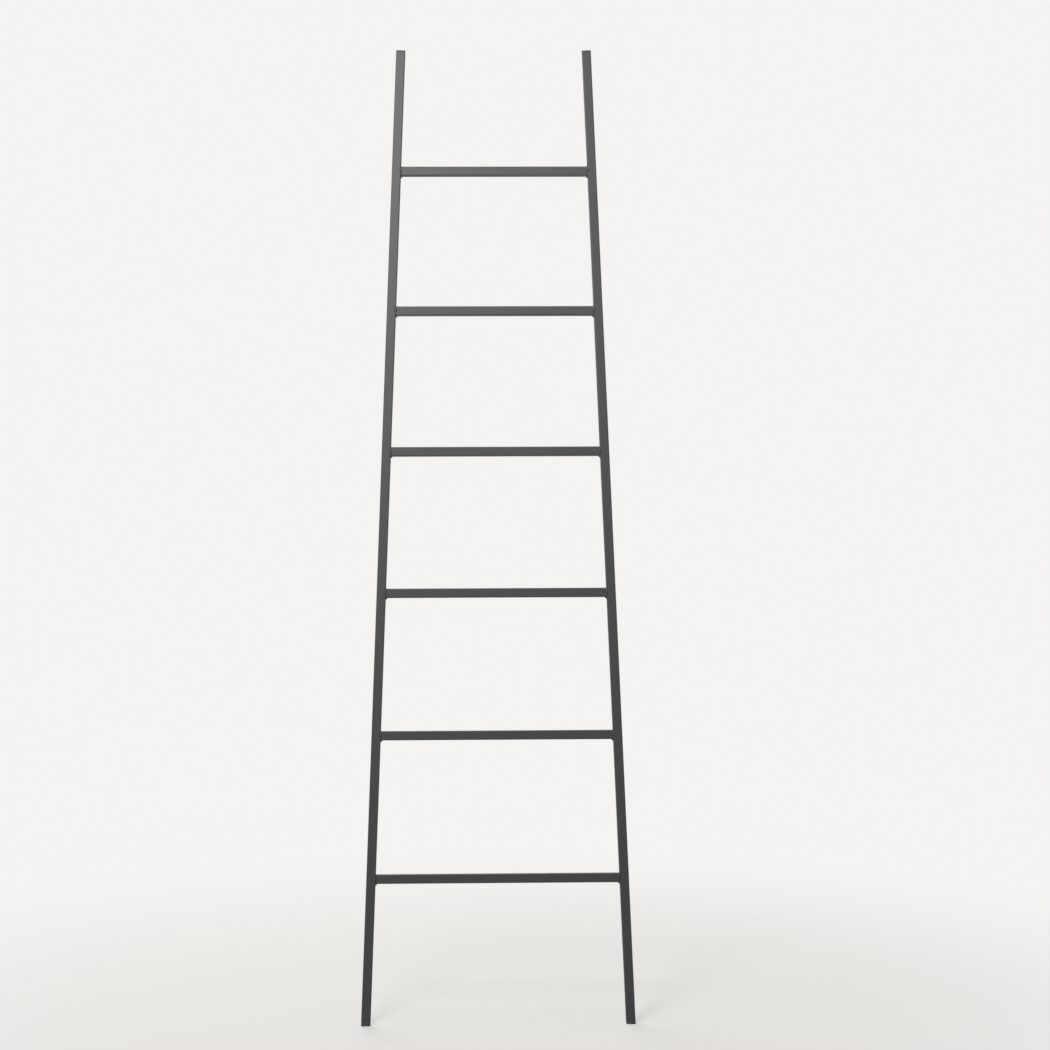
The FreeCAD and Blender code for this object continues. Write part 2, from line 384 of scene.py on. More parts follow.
# the density of a fused bead rises over this many grains inwards, and its skin lies at this density
BAND_GRAINS, SKIN_DENSITY = 4.0, 0.1


def new_tree(
    name: str, inputs: Sequence[tuple[str, str, object]]
) -> tuple[bpy.types.NodeTree, bpy.types.Node]:
    """Start a geometry tree with a geometry input and output and its own named inputs.

    Args:
        name: The tree's name.
        inputs: For each named input its name, socket type and default value.

    Returns:
        The tree and its input node.
    """
    tree = bpy.data.node_groups.new(name, "GeometryNodeTree")
    tree.interface.new_socket("Geometry", in_out="INPUT", socket_type="NodeSocketGeometry")
    for label, kind, value in inputs:
        socket = tree.interface.new_socket(label, in_out="INPUT", socket_type=kind)
        if value is not None:
            socket.default_value = value
    tree.interface.new_socket("Geometry", in_out="OUTPUT", socket_type="NodeSocketGeometry")
    return tree, tree.nodes.new("NodeGroupInput")


def end_tree(tree: bpy.types.NodeTree, shape: bpy.types.NodeSocket, material: bpy.types.NodeSocket) -> None:
    """End a geometry tree: real geometry, smooth faces and one material.

    Args:
        tree: The tree.
        shape: The geometry made so far.
        material: The input that holds the material.
    """
    real = add_node(tree, "GeometryNodeRealizeInstances", {"Geometry": shape})
    smooth = add_node(tree, "GeometryNodeSetShadeSmooth", {"Geometry": real.outputs["Geometry"]})
    dressed = add_node(
        tree, "GeometryNodeSetMaterial", {"Geometry": smooth.outputs["Geometry"], "Material": material}
    )
    add_node(tree, "NodeGroupOutput", {"Geometry": dressed.outputs["Geometry"]})


def tube_tree() -> bpy.types.NodeTree:
    """The tree that rolls the skin of a square tube along the z axis, its middle line at the origin.

    Returns:
        A tree with named inputs for the tube's sizes, in millimetres.
    """
    tree, given = new_tree(
        "square_tube_skin",
        (
            ("Length", "NodeSocketFloat", 100.0),
            ("Side", "NodeSocketFloat", 18.0),
            ("Corner Radius", "NodeSocketFloat", 2.0),
            ("Corner Points", "NodeSocketInt", 6),
            ("Ring Gap", "NodeSocketFloat", 50.0),
            ("Mitre", "NodeSocketFloat", 0.0),
            ("Material", "NodeSocketMaterial", None),
        ),
    )
    length, side, radius = (given.outputs[label] for label in ("Length", "Side", "Corner Radius"))
    far_end = add_node(tree, "ShaderNodeCombineXYZ", {"Z": length})
    line = add_node(tree, "GeometryNodeCurvePrimitiveLine", {"End": far_end.outputs["Vector"]})
    rings = add_node(
        tree,
        "GeometryNodeResampleCurve",
        {"Curve": line.outputs["Curve"], "Length": given.outputs["Ring Gap"]},
        mode="LENGTH",
    )
    square = add_node(tree, "GeometryNodeCurvePrimitiveQuadrilateral", {"Width": side, "Height": side})
    rounded = add_node(
        tree,
        "GeometryNodeFilletCurve",
        {"Curve": square.outputs["Curve"], "Count": given.outputs["Corner Points"], "Radius": radius},
        mode="POLY",
    )
    skin = add_node(
        tree,
        "GeometryNodeCurveToMesh",
        {"Curve": rings.outputs["Curve"], "Profile Curve": rounded.outputs["Curve"]},
    )

    place = add_node(tree, "GeometryNodeInputPosition")
    parts = add_node(tree, "ShaderNodeSeparateXYZ", {"Vector": place.outputs["Position"]})
    x, y, z = (parts.outputs[axis] for axis in "XYZ")
    # how thin the film is: 0 over the flats, 1 along the middle of a rounded corner
    nearer = reckon(tree, "MINIMUM", reckon(tree, "ABSOLUTE", x), reckon(tree, "ABSOLUTE", y))
    flat_ends = reckon(tree, "SUBTRACT", reckon(tree, "MULTIPLY", side, 0.5), radius)
    corner_middle = reckon(tree, "MULTIPLY_ADD", radius, math.sqrt(0.5), flat_ends)
    thin = ranged(tree, nearer, (flat_ends, corner_middle))
    filmed = add_node(
        tree,
        "GeometryNodeStoreNamedAttribute",
        {"Geometry": skin.outputs["Mesh"], "Name": EDGE_FILM, "Value": thin},
        data_type="FLOAT",
        domain="POINT",
    )

    # a mitred end lies flat on a splayed stile: each ring leans, most at the two ends
    signed = reckon(tree, "MULTIPLY_ADD", reckon(tree, "DIVIDE", z, length), 2.0, -1.0)
    lean = reckon(tree, "MULTIPLY", x, given.outputs["Mitre"])
    offset = add_node(tree, "ShaderNodeCombineXYZ", {"Z": reckon(tree, "MULTIPLY", lean, signed)})
    mitred = add_node(
        tree,
        "GeometryNodeSetPosition",
        {"Geometry": filmed.outputs["Geometry"], "Offset": offset.outputs["Vector"]},
    )
    end_tree(tree, mitred.outputs["Geometry"], given.outputs["Material"])
    return tree


def weld_tree() -> bpy.types.NodeTree:
    """The tree that lays weld metal along its input's edges, one ripple after another.

    Each point of the input says how wide and how high the bead is there and which way it faces.
    The ripples lean back along the bead as the pool froze, and are then fused into one skin and
    softened, as the powder coat softens them.

    Returns:
        A tree with named inputs for the bead's sizes, in millimetres.
    """
    tree, given = new_tree(
        "weld_ripples",
        (
            ("Ripple Pitch", "NodeSocketFloat", 1.2),
            ("Ripple Thickness", "NodeSocketFloat", 1.5),
            ("Lean", "NodeSocketFloat", 0.45),
            ("Unevenness", "NodeSocketFloat", 0.06),
            ("Taper", "NodeSocketFloat", 0.12),
            ("Seed", "NodeSocketInt", 1),
            ("Grain", "NodeSocketFloat", 0.2),
            ("Softening", "NodeSocketInt", 3),
            ("Material", "NodeSocketMaterial", None),
        ),
    )
    path = add_node(tree, "GeometryNodeMeshToCurve", {"Mesh": given.outputs["Geometry"]})
    steps = add_node(
        tree,
        "GeometryNodeResampleCurve",
        {"Curve": path.outputs["Curve"], "Length": given.outputs["Ripple Pitch"]},
        mode="LENGTH",
    )
    width = add_node(tree, "GeometryNodeInputNamedAttribute", {"Name": "half_width"}, data_type="FLOAT")
    height = add_node(tree, "GeometryNodeInputNamedAttribute", {"Name": "half_height"}, data_type="FLOAT")
    facing = add_node(
        tree, "GeometryNodeInputNamedAttribute", {"Name": "facing"}, data_type="FLOAT_VECTOR"
    )
    run = add_node(tree, "GeometryNodeInputTangent")
    upright = add_node(
        tree,
        "FunctionNodeAxesToRotation",
        {"Primary Axis": facing.outputs["Attribute"], "Secondary Axis": run.outputs["Tangent"]},
        primary_axis="Z",
        secondary_axis="X",
    )
    tip = add_node(
        tree, "FunctionNodeAxisAngleToRotation", {"Axis": (0.0, 1.0, 0.0), "Angle": given.outputs["Lean"]}
    )
    leaning = add_node(
        tree,
        "FunctionNodeRotateRotation",
        {"Rotation": upright.outputs["Rotation"], "Rotate By": tip.outputs["Rotation"]},
        rotation_space="LOCAL",
    )
    least = reckon(tree, "SUBTRACT", 1.0, given.outputs["Unevenness"])
    most = reckon(tree, "ADD", 1.0, given.outputs["Unevenness"])
    chance = add_node(
        tree,
        "FunctionNodeRandomValue",
        {2: least, 3: most, "Seed": given.outputs["Seed"]},
        data_type="FLOAT",
    )
    # the bead starts and stops thinner: full in its middle, less by the taper at its two ends
    share = add_node(tree, "GeometryNodeSplineParameter")
    off_middle = reckon(tree, "MULTIPLY_ADD", share.outputs["Factor"], 2.0, -1.0)
    rise = reckon(tree, "POWER", off_middle, TAPER_POWER)
    loss = reckon(tree, "MULTIPLY", rise, given.outputs["Taper"])
    fullness = reckon(tree, "SUBTRACT", chance.outputs[1], loss)
    size = add_node(
        tree,
        "ShaderNodeCombineXYZ",
        {
            "X": given.outputs["Ripple Thickness"],
            "Y": width.outputs["Attribute"],
            "Z": height.outputs["Attribute"],
        },
    )
    uneven = add_node(
        tree,
        "ShaderNodeVectorMath",
        {"Vector": size.outputs["Vector"], "Scale": fullness},
        operation="SCALE",
    )
    pool = add_node(
        tree,
        "GeometryNodeMeshUVSphere",
        {"Segments": BALL_SEGMENTS, "Rings": BALL_RINGS, "Radius": 1.0},
    )
    ripples = add_node(
        tree,
        "GeometryNodeInstanceOnPoints",
        {
            "Points": steps.outputs["Curve"],
            "Instance": pool.outputs["Mesh"],
            "Rotation": leaning.outputs["Rotation"],
            "Scale": uneven.outputs["Vector"],
        },
    )
    solid = add_node(tree, "GeometryNodeRealizeInstances", {"Geometry": ripples.outputs["Instances"]})
    band = reckon(tree, "MULTIPLY", given.outputs["Grain"], BAND_GRAINS)
    fused = add_node(
        tree,
        "GeometryNodeMeshToVolume",
        {
            "Mesh": solid.outputs["Geometry"],
            "Voxel Size": given.outputs["Grain"],
            "Interior Band Width": band,
        },
        resolution_mode="VOXEL_SIZE",
    )
    skin = add_node(
        tree,
        "GeometryNodeVolumeToMesh",
        {
            "Volume": fused.outputs["Volume"],
            "Voxel Size": given.outputs["Grain"],
            "Threshold": SKIN_DENSITY,
        },
        resolution_mode="VOXEL_SIZE",
    )
    place = add_node(tree, "GeometryNodeInputPosition")
    softer = add_node(
        tree,
        "GeometryNodeBlurAttribute",
        {"Value": place.outputs["Position"], "Iterations": given.outputs["Softening"]},
        data_type="FLOAT_VECTOR",
    )
    softened = add_node(
        tree,
        "GeometryNodeSetPosition",
        {"Geometry": skin.outputs["Mesh"], "Position": softer.outputs["Value"]},
    )
    end_tree(tree, softened.outputs["Geometry"], given.outputs["Material"])
    return tree


def grown(seedling: bpy.types.Mesh, tree: bpy.types.NodeTree, **inputs: object) -> bpy.types.Object:
    """Hang a geometry tree on a mesh, with its inputs set.

    Args:
        seedling: The mesh that goes into the tree.
        tree: The geometry tree.
        **inputs: Values by the input's name, with underscores for its spaces.

    Returns:
        A new object with the tree as its only modifier.
    """
    thing = bpy.data.objects.new(seedling.name, seedling)
    bpy.context.scene.collection.objects.link(thing)
    modifier = thing.modifiers.new("tree", "NODES")
    modifier.node_group = tree
    sockets = {item.name: item.identifier for item in tree.interface.items_tree if item.in_out == "INPUT"}
    for name, value in inputs.items():
        modifier[sockets[name.replace("_", " ")]] = value
    return thing


def settled(thing: bpy.types.Object, place: Matrix) -> bpy.types.Mesh:
    """Turn an object with its modifiers into a plain mesh in the frame.

    Args:
        thing: The object, which is removed.
        place: Where its own millimetres lie in the frame.

    Returns:
        The finished mesh.
    """
    ready = thing.evaluated_get(bpy.context.evaluated_depsgraph_get())
    mesh = bpy.data.meshes.new_from_object(ready)
    raw = thing.data
    bpy.data.objects.remove(thing)
    bpy.data.meshes.remove(raw)
    mesh.transform(place)
    return mesh


# ---- places in the frame ----


@dataclass(frozen=True)
class Line:
    """The middle line of a tube, from one end to the other, in metres."""

    start: Vector
    end: Vector

    @classmethod
    def of_node(cls, node: str) -> "Line":
        """Read a straight tube's middle line from its node.

        Args:
            node: The name of a tube's node.

        Returns:
            The line between the middles of its two ends, the lower or the left end first.
        """
        points = [vertex.co for vertex in frame["nodes"][node].data.vertices]
        low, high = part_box(node)
        longest = max(range(3), key=lambda axis: high[axis] - low[axis])
        halfway = (low[longest] + high[longest]) / 2
        ends = ([p for p in points if p[longest] < halfway], [p for p in points if p[longest] >= halfway])
        middles = [
            Vector([(min(p[axis] for p in end) + max(p[axis] for p in end)) / 2 for axis in range(3)])
            for end in ends
        ]
        return cls(*middles)

    @property
    def length(self) -> float:
        """The length of the line in metres."""
        return (self.end - self.start).length

    @property
    def way(self) -> Vector:
        """The direction from start to end."""
        return (self.end - self.start).normalized()


@dataclass(frozen=True)
class Slope:
    """The plane that the ladder leans in: up it, across it and out of it to the room."""

    up: Vector
    across: Vector
    front: Vector
    splay: float

    @classmethod
    def of_stiles(cls, left: Line, right: Line) -> "Slope":
        """Work the plane out from the two stiles.

        Args:
            left: The left stile's middle line.
            right: The right stile's middle line.

        Returns:
            The plane, with the angle of each stile to its middle line in radians.
        """
        up = (left.way + right.way).normalized()
        across = (right.start - left.start).normalized()
        return cls(up, across, across.cross(up), left.way.angle(up))


def bench(origin: Vector, along: Vector, back: Vector) -> Matrix:
    """Carry a piece from its upright workshop position to its place.

    Args:
        origin: Where the piece's origin goes, in metres.
        along: Where its z axis points.
        back: Where its y axis points, square to along.

    Returns:
        The matrix from the piece's millimetres to the frame's metres.
    """
    turn = Matrix((back.cross(along), back, along)).transposed()
    return Matrix.Translation(origin) @ turn.to_4x4() @ Matrix.Scale(MM, 4)


# ---- plain meshes ----


def square_ring(side: float, corner: float, steps: int = 6) -> list[tuple[float, float]]:
    """A square with rounded corners, as points in order.

    Args:
        side: Across the flats.
        corner: Radius of the corners, at most half the side.
        steps: Points along each corner, less one.

    Returns:
        The points, anticlockwise from the right-hand side.
    """
    reach = (side / 2 - corner) * math.sqrt(2)
    ring = []
    for quarter in range(4):
        turn = math.pi / 2 * quarter
        diagonal = turn + math.pi / 4
        centre = (reach * math.cos(diagonal), reach * math.sin(diagonal))
        for step in range(steps + 1):
            angle = turn + math.pi / 2 * step / steps
            ring.append((centre[0] + corner * math.cos(angle), centre[1] + corner * math.sin(angle)))
    return ring


def stacked(stations: Sequence[Station]) -> list[Ring]:
    """Draw a level ring of a rounded square at each station, in the order given."""
    return [
        [Vector((x, y, height)) for x, y in square_ring(side, corner)]
        for height, side, corner in stations
    ]


def rounded_edge(radius: float, steps: int) -> list[tuple[float, float]]:
    """Go over a rounded edge from the side of a head to its end.

    Args:
        radius: The rounding's radius.
        steps: Points along it, less one.

    Returns:
        For each point, how far in from the side and how far short of the end it lies.
    """
    turns = [math.pi / 2 * step / steps for step in range(steps + 1)]
    return [(radius * (1 - math.cos(turn)), radius * (1 - math.sin(turn))) for turn in turns]


def lofted(name: str, rings: Sequence[Ring], material: bpy.types.Material) -> bpy.types.Mesh:
    """Join rings of equal length, bottom to top, into one closed skin.

    Args:
        name: The mesh's name.
        rings: The rings, each anticlockwise seen from above.
        material: The finish.

    Returns:
        The mesh, smooth but for its sharp edges.
    """
    work = bmesh.new()
    rows = [[work.verts.new(point) for point in ring] for ring in rings]
    for lower, upper in zip(rows, rows[1:]):
        for at in range(len(lower)):
            after = (at + 1) % len(lower)
            work.faces.new((lower[at], lower[after], upper[after], upper[at]))
    work.faces.new(reversed(rows[0]))
    work.faces.new(rows[-1])
    mesh = bpy.data.meshes.new(name)
    work.to_mesh(mesh)
    work.free()
    mesh.materials.append(material)
    mesh.shade_smooth()
    mesh.set_sharp_from_angle(angle=SHARP_ANGLE)
    return mesh


def handed_in(name: str, mesh: bpy.types.Mesh, slot: Slot, *nodes: str) -> bpy.types.Object:
    """Hand a finished mesh to the frame as the piece that shows for some nodes.

    Args:
        name: The piece's name.
        mesh: The mesh, in its place.
        slot: The record's slot that its finish belongs to; not used.
        *nodes: The nodes that it stands for.

    Returns:
        The piece.
    """
    mesh.name = name
    piece = bpy.data.objects.new(name, mesh)
    bpy.context.scene.collection.objects.link(piece)
    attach(piece, BODY)
    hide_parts(*nodes)
    LOG.info("%s: %d faces, stands for %s", name, len(mesh.polygons), ", ".join(nodes))
    return piece


# ---- the tubes ----

# two modifier settings: the wall lies inside the skin, and the widest faces count most
INWARDS = -1.0
WIDEST_COUNT_MOST = 100


@dataclass(frozen=True)
class SquareTube:
    """Welded square steel tube, as stocked, with its ends sawn and deburred. Millimetres."""

    side: float = 18.0
    corner: float = 2.0
    wall: float = 1.5
    corner_points: int = 7
    ring_gap: float = 60.0
    deburring: float = 0.2
    deburring_steps: int = 2

    def cut(
        self,
        name: str,
        line: Line,
        back: Vector,
        tree: bpy.types.NodeTree,
        coat: bpy.types.Material,
        mitre: float = 0.0,
    ) -> bpy.types.Mesh:
        """Cut one length and coat it.

        Args:
            name: The piece's name.
            line: Its middle line.
            back: The direction of its rear face.
            tree: The tree that rolls the tube's skin.
            coat: The finish.
            mitre: How far the ends lean for each millimetre across the tube.

        Returns:
            The mesh in its place, with its wall and its open ends.
        """
        length = line.length / MM
        thing = grown(
            bpy.data.meshes.new(name),
            tree,
            Length=length,
            Side=self.side,
            Corner_Radius=self.corner,
            Corner_Points=self.corner_points,
            Ring_Gap=self.ring_gap,
            Mitre=mitre,
            Material=coat,
        )
        wall = thing.modifiers.new("wall", "SOLIDIFY")
        wall.thickness = self.wall
        wall.offset = INWARDS
        wall.use_even_offset = True
        ends = thing.modifiers.new("deburred_ends", "BEVEL")
        ends.width = self.deburring
        ends.segments = self.deburring_steps
        ends.limit_method = "ANGLE"
        ends.angle_limit = SHARP_ANGLE
        flats = thing.modifiers.new("flat_faces", "WEIGHTED_NORMAL")
        flats.keep_sharp = True
        flats.weight = WIDEST_COUNT_MOST
        return settled(thing, bench(line.start, line.way, back))


# ---- the plugs ----


@dataclass(frozen=True)
class PlugCore:
    """The part of a plug inside the tube: a core with ribs that grip the bore. Millimetres."""

    reach: float = 22.0
    rib_side: float = 14.7
    core_side: float = 11.5
    rib_thickness: float = 1.2
    rib_pitch: float = 6.0
    rib_count: int = 3
    first_rib: float = 3.5
    # the core narrows by its lead at its inner end, and the corner radius goes down to this one
    lead: float = 1.2
    end_corner: float = 1.4
    corner: float = 2.0
    rib_corner: float = 0.5

    def stations(self) -> list[Station]:
        """The core's outline from its inner end to the head."""
        made = [
            (-self.reach, self.core_side - 2 * self.lead, self.end_corner),
            (-self.reach + self.lead, self.core_side, self.corner),
        ]
        for rib in reversed(range(self.rib_count)):
            top = -self.first_rib - rib * self.rib_pitch
            bottom = top - self.rib_thickness
            made += [
                (bottom, self.core_side, self.corner),
                (bottom, self.rib_side, self.rib_corner),
                (top, self.rib_side, self.rib_corner),
                (top, self.core_side, self.corner),
            ]
        return [*made, (0.0, self.core_side, self.corner)]


@dataclass(frozen=True)
class CapPlug:
    """The moulded plug in the top of a stile. Millimetres.

    The seam is a small chamfer under the head, which draws a fine line above the tube's end. The
    top is a low crown, drawn at some shares of its width, with the gate mark in its middle: a round
    dimple with a pip in it.
    """

    side: Side
    head: float = 3.0
    width: float = 18.0
    corner: float = 2.0
    seam: float = 0.1
    rounding: float = 0.8
    rounding_steps: int = 5
    crown: float = 0.25
    crown_shares: tuple[float, ...] = (0.8, 0.6, 0.4)
    gate: float = 3.2
    gate_depth: float = 0.3
    gate_slope: float = 0.3
    pip: float = 0.9
    pip_height: float = 0.15
    pip_slope: float = 0.15
    core: PlugCore = field(default_factory=PlugCore)

    def stations(self) -> list[Station]:
        """The head's outline from the tube's end to its top."""
        made = [
            (0.0, self.width - 2 * self.seam, self.corner - self.seam),
            (self.seam, self.width, self.corner),
        ]
        for inset, short in rounded_edge(self.rounding, self.rounding_steps):
            height = self.head - self.crown - short
            made.append((height, self.width - 2 * inset, self.corner - inset))
        edge = self.width - 2 * self.rounding
        for share in self.crown_shares:
            made.append((self.head - self.crown * share**2, edge * share, self.gate / 2 + share))
        low = self.head - self.gate_depth
        for height, across in (
            (self.head, self.gate),
            (low, self.gate - 2 * self.gate_slope),
            (low, self.pip),
            (low + self.pip_height, self.pip - 2 * self.pip_slope),
        ):
            made.append((height, across, across / 2))
        return made

    def build(self, stile: Line, back: Vector, finish: bpy.types.Material) -> bpy.types.Object:
        """Mould the plug and push it into the top of its stile.

        Args:
            stile: The stile tube's middle line.
            back: The direction of the stile's rear face.
            finish: The plastic.

        Returns:
            The piece.
        """
        node = f"cap_plug_{self.side.value}"
        mesh = lofted(node, stacked([*self.core.stations(), *self.stations()]), finish)
        mesh.transform(bench(stile.end, stile.way, back))
        return handed_in(f"cap_{self.side.value}", mesh, Slot.CAP_PLASTIC, node)


@dataclass(frozen=True)
class FootPlug:
    """The moulded plug in the foot of a stile; its sole is level on the floor. Millimetres."""

    side: Side
    width: float = 18.0
    corner: float = 2.0
    seam: float = 0.15
    rounding: float = 1.5
    rounding_steps: int = 5
    core: PlugCore = field(default_factory=PlugCore)

    def build(self, stile: Line, back: Vector, finish: bpy.types.Material) -> bpy.types.Object:
        """Mould the plug, trim its sole to the floor and push it into the foot of its stile.

        Args:
            stile: The stile tube's middle line.
            back: The direction of the stile's rear face.
            finish: The plastic.

        Returns:
            The piece.
        """
        node = f"foot_plug_{self.side.value}"
        place = bench(stile.start, -stile.way, back)
        # how a point moves in the frame for each millimetre down the plug
        fall = place.to_3x3() @ Vector((0, 0, 1))
        rings = stacked(
            [
                *self.core.stations(),
                (0.0, self.width - 2 * self.seam, self.corner - self.seam),
                (self.seam, self.width, self.corner),
            ]
        )
        for inset, short in rounded_edge(self.rounding, self.rounding_steps):
            ring = []
            for x, y in square_ring(self.width - 2 * inset, self.corner - inset):
                start = place @ Vector((x, y, 0))
                ring.append(Vector((x, y, (short * MM - start.z) / fall.z)))
            rings.append(ring)
        mesh = lofted(node, rings, finish)
        mesh.transform(place)
        return handed_in(f"foot_{self.side.value}", mesh, Slot.FOOT_PLASTIC, node)


# ---- the welds ----


@dataclass(frozen=True)
class Bead:
    """One bead of weld: the two ends of its middle line, its half width and height, its face."""

    start: Vector
    end: Vector
    half_width: float
    half_height: float
    facing: Vector


@dataclass(frozen=True)
class WeldJoint:
    """All the weld at one end of a rung. Millimetres.

    The face of a corner bead lies its crown above the line from toe to toe, so below that line for
    a crown under zero, and its back is sunk by its root in the corner. The middle of a groove bead
    lies its rise above the rung's middle line and its offset into the stile, and its face stands
    its crown proud of the tubes.
    """

    side: Side
    rung: int
    tube: SquareTube = field(default_factory=SquareTube)
    leg_under: float = 4.5
    leg_above: float = 1.8
    crown: float = -0.2
    root: float = 0.4
    groove_length: float = 8.0
    groove_rise: float = 2.0
    groove_half_width: float = 2.3
    groove_crown: float = 1.6
    groove_depth: float = 2.0
    groove_offset: float = 0.3
    ripple_pitch: float = 0.95
    ripple_thickness: float = 1.5

    def corner_bead(self, inward: Vector, up: Vector, front: Vector, leg: float) -> Bead:
        """The bead in the corner between the rung and the stile.

        Args:
            inward: From the stile to the middle of the ladder.
            up: Away from the rung, on the side that is welded.
            front: To the room.
            leg: How far the bead reaches along each tube.

        Returns:
            The bead, from the front to the back.
        """
        chord = leg / math.sqrt(2)
        half_height = (chord + self.crown + self.root) / 2
        facing = (inward + up).normalized()
        middle = up * self.tube.side / 2 + facing * (half_height - self.root)
        reach = front * (self.tube.side / 2 - self.tube.corner - self.ripple_thickness / 2)
        return Bead(middle + reach, middle - reach, chord, half_height, facing)

    def groove_bead(self, inward: Vector, up: Vector, front: Vector) -> Bead:
        """The bead in the groove that the stile's rounded edge leaves beside the rung.

        Args:
            inward: From the stile to the middle of the ladder.
            up: Up the slope.
            front: Out of the groove.

        Returns:
            The bead, from bottom to top.
        """
        deep = self.tube.side / 2 + self.groove_crown - self.groove_depth
        middle = front * deep - inward * self.groove_offset + up * self.groove_rise
        reach = up * (self.groove_length - self.ripple_thickness) / 2
        return Bead(middle - reach, middle + reach, self.groove_half_width, self.groove_depth, front)

    def build(
        self, end: Vector, slope: Slope, tree: bpy.types.NodeTree, coat: bpy.types.Material
    ) -> bpy.types.Object:
        """Weld one end of a rung to its stile.

        Args:
            end: The middle of the rung's end.
            slope: The plane of the ladder.
            tree: The tree that lays the ripples.
            coat: The finish.

        Returns:
            The piece.
        """
        inward = slope.across if self.side is Side.LEFT else -slope.across
        beads = (
            self.corner_bead(inward, -slope.up, slope.front, self.leg_under),
            self.corner_bead(inward, slope.up, slope.front, self.leg_above),
            self.groove_bead(inward, slope.up, slope.front),
            self.groove_bead(inward, slope.up, -slope.front),
        )
        name = f"weld_{self.side.value}_{self.rung}"
        paths = bpy.data.meshes.new(name)
        points = [point for bead in beads for point in (bead.start, bead.end)]
        paths.from_pydata(points, [(at, at + 1) for at in range(0, len(points), 2)], [])
        for label, kind, entry in (
            ("half_width", "FLOAT", "value"),
            ("half_height", "FLOAT", "value"),
            ("facing", "FLOAT_VECTOR", "vector"),
        ):
            layer = paths.attributes.new(label, kind, "POINT")
            for at in range(len(points)):
                setattr(layer.data[at], entry, getattr(beads[at // 2], label))
        thing = grown(
            paths,
            tree,
            Ripple_Pitch=self.ripple_pitch,
            Ripple_Thickness=self.ripple_thickness,
            Seed=self.rung * 2 + (self.side is Side.RIGHT),
            Material=coat,
        )
        mesh = settled(thing, Matrix.Translation(end) @ Matrix.Scale(MM, 4))
        return handed_in(f"bead_{self.side.value}_{self.rung}", mesh, Slot.WELD, name)


# ---- the ladder ----


@dataclass
class Ladder:
    """The whole ladder: two stiles with their plugs, and the rungs welded between them."""

    tube: SquareTube = field(default_factory=SquareTube)
    steel: Finish = PowderCoat("satin_powder_coat_on_steel_tube")
    weld: Finish = PowderCoat("satin_powder_coat_on_weld", least_rough=0.24, most_rough=0.3)
    cap: Finish = MouldedPolyethylene("moulded_polyethylene_cap")
    foot: Finish = MouldedPolyethylene(
        "moulded_polyethylene_foot", body="#2c2c2f", rubbed="#3a3a3c", scuff_height=4.0
    )

    def build(self) -> None:
        """Build every piece of the ladder, in the order that a welder would."""
        lines = {side: Line.of_node(f"{side.value}_stile") for side in Side}
        slope = Slope.of_stiles(lines[Side.LEFT], lines[Side.RIGHT])
        skin, ripples = tube_tree(), weld_tree()
        steel, weld, cap, foot = (one.material() for one in (self.steel, self.weld, self.cap, self.foot))
        back = -slope.front
        for side, line in lines.items():
            node = f"{side.value}_stile"
            handed_in(f"stile_{side.value}", self.tube.cut(node, line, back, skin, steel), Slot.STEEL, node)
        rungs = sorted(int(node.split("_")[1]) for node in frame["nodes"] if node.startswith("rung_"))
        for number in rungs:
            node = f"rung_{number}"
            line = Line.of_node(node)
            mesh = self.tube.cut(node, line, back, skin, steel, mitre=math.tan(slope.splay))
            handed_in(f"rung_tube_{number}", mesh, Slot.STEEL, node)
            WeldJoint(Side.LEFT, number, self.tube).build(line.start, slope, ripples, weld)
            WeldJoint(Side.RIGHT, number, self.tube).build(line.end, slope, ripples, weld)
        for side, line in lines.items():
            CapPlug(side).build(line, back, cap)
            FootPlug(side).build(line, back, foot)


# ---- the studio ----


@dataclass(frozen=True)
class Softbox:
    """One square studio light. Metres, watts and degrees."""

    name: str
    place: tuple[float, float, float]
    aim: tuple[float, float, float]
    size: float
    power: float
    spread: float = 180.0

    def light(self) -> None:
        """Hang the light and aim it."""
        lamp = bpy.data.lights.new(self.name, "AREA")
        lamp.shape = "SQUARE"
        lamp.size = self.size
        lamp.energy = self.power
        lamp.spread = math.radians(self.spread)
        stand = bpy.data.objects.new(self.name, lamp)
        stand.location = self.place
        stand.rotation_euler = (Vector(self.aim) - Vector(self.place)).to_track_quat("-Z", "Y").to_euler()
        bpy.context.scene.collection.objects.link(stand)


